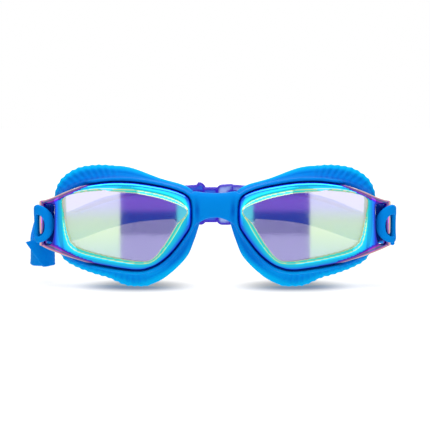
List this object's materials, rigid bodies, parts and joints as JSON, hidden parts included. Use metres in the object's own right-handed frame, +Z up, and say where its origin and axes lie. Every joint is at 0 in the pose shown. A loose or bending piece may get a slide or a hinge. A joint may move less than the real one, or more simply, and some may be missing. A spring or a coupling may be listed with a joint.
{
  "type": "swim goggles",
  "caption": "Swim goggles: mirrored lenses in a one-piece silicone frame, with a silicone strap that closes behind the head in a clasp.",
  "frame": {"origin": "middle of the footprint, on the surface that the goggles stand on", "axes": "+Z up, +X to the wearer's left, -Y forward, the way the wearer looks"},
  "size_m": [0.1709, 0.13, 0.0534],
  "materials": {
    "silicone": "satin",
    "mirror_lens": "mirror coated",
    "clasp": "translucent"
  },
  "bodies": {
    "front": {"frame_skirt": "silicone", "lens_left": "mirror_lens", "lens_right": "mirror_lens"},
    "left_strap": {"strap_left": "silicone"},
    "right_strap": {"strap_right": "silicone"},
    "left_clasp": {"clasp_socket": "clasp"},
    "right_clasp": {"clasp_plug": "clasp"}
  },
  "joints": [
    {"name": "left_strap_swivel", "type": "hinge", "parent": "front", "child": "left_strap", "pos_m": [-0.075, -0.04717, 0.0278], "axis": [0, 0, 1], "range_deg": [0, 110]},
    {"name": "right_strap_swivel", "type": "hinge", "parent": "front", "child": "right_strap", "pos_m": [0.075, -0.04717, 0.0278], "axis": [0, 0, -1], "range_deg": [0, 110]},
    {"name": "left_strap_length", "type": "slide", "parent": "left_strap", "child": "left_clasp", "axis": [0, 1, 0], "range_m": [-0.015, 0.025], "deforming": ["strap_left"]},
    {"name": "right_strap_length", "type": "slide", "parent": "right_strap", "child": "right_clasp", "axis": [0, 1, 0], "range_m": [-0.015, 0.025], "deforming": ["strap_right"]}
  ],
  "couplings": [
    {"joint": "right_strap_swivel", "follows": "left_strap_swivel", "ratio": 1},
    {"joint": "right_strap_length", "follows": "left_strap_length", "ratio": 1}
  ]
}
